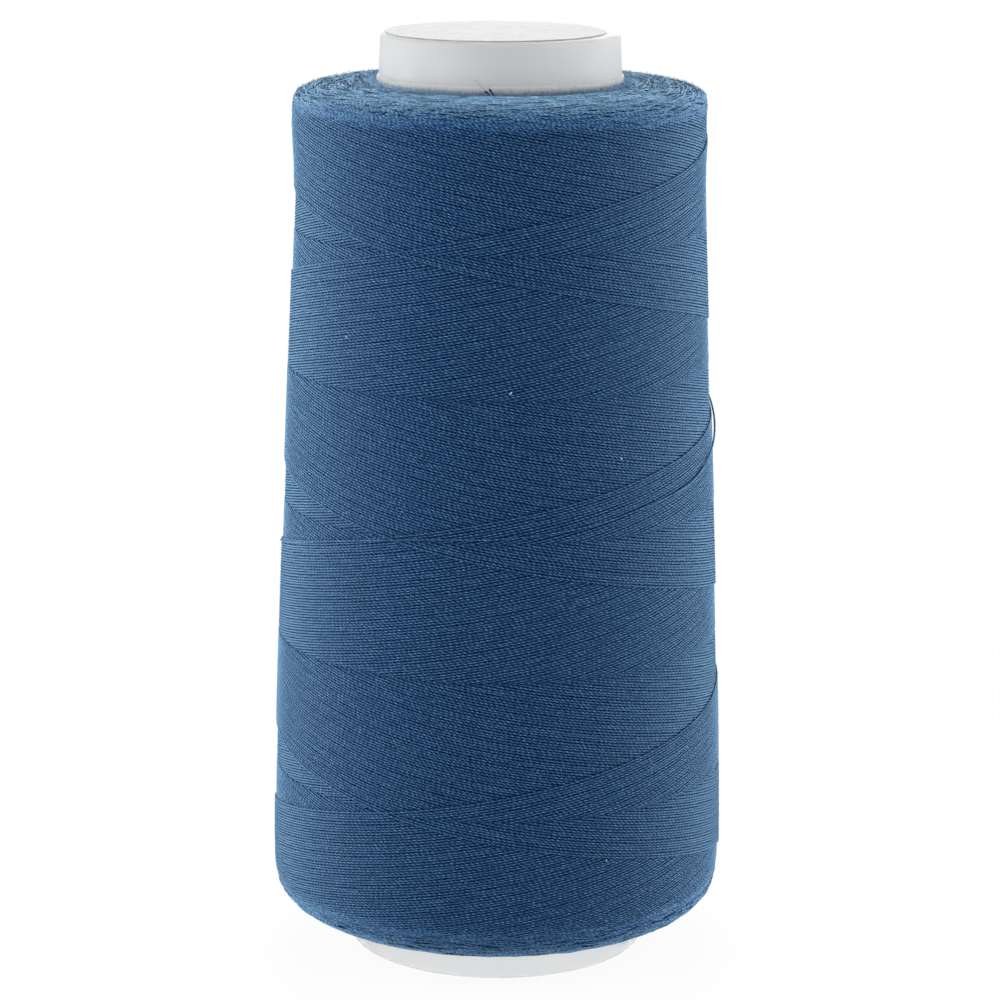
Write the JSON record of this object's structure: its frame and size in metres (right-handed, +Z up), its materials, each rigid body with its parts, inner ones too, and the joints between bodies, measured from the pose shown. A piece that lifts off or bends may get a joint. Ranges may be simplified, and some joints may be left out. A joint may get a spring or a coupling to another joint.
{
  "type": "spool of thread",
  "caption": "King-size spool of sewing thread: thread cross-wound on a tapered hollow moulded tube with a round bare label on its closed top.",
  "frame": {"origin": "centre of the tube's foot, on the plane it stands on", "axes": "+Z up along the tube's axis to the label; -Y is the front, where the thread's cut ends stand"},
  "size_m": [0.0581, 0.0582, 0.115],
  "materials": {
    "tube": "natural white moulded polypropylene, slightly translucent, satin",
    "thread": "twisted spun polyester sewing thread, matt with fine fuzz",
    "label": "plain silver-white film, faintly crinkled"
  },
  "bodies": {
    "root": {"tube": "tube", "wound_body": "thread", "outer_turns": "thread", "start_tails": "thread", "label": "label"}
  },
  "joints": []
}
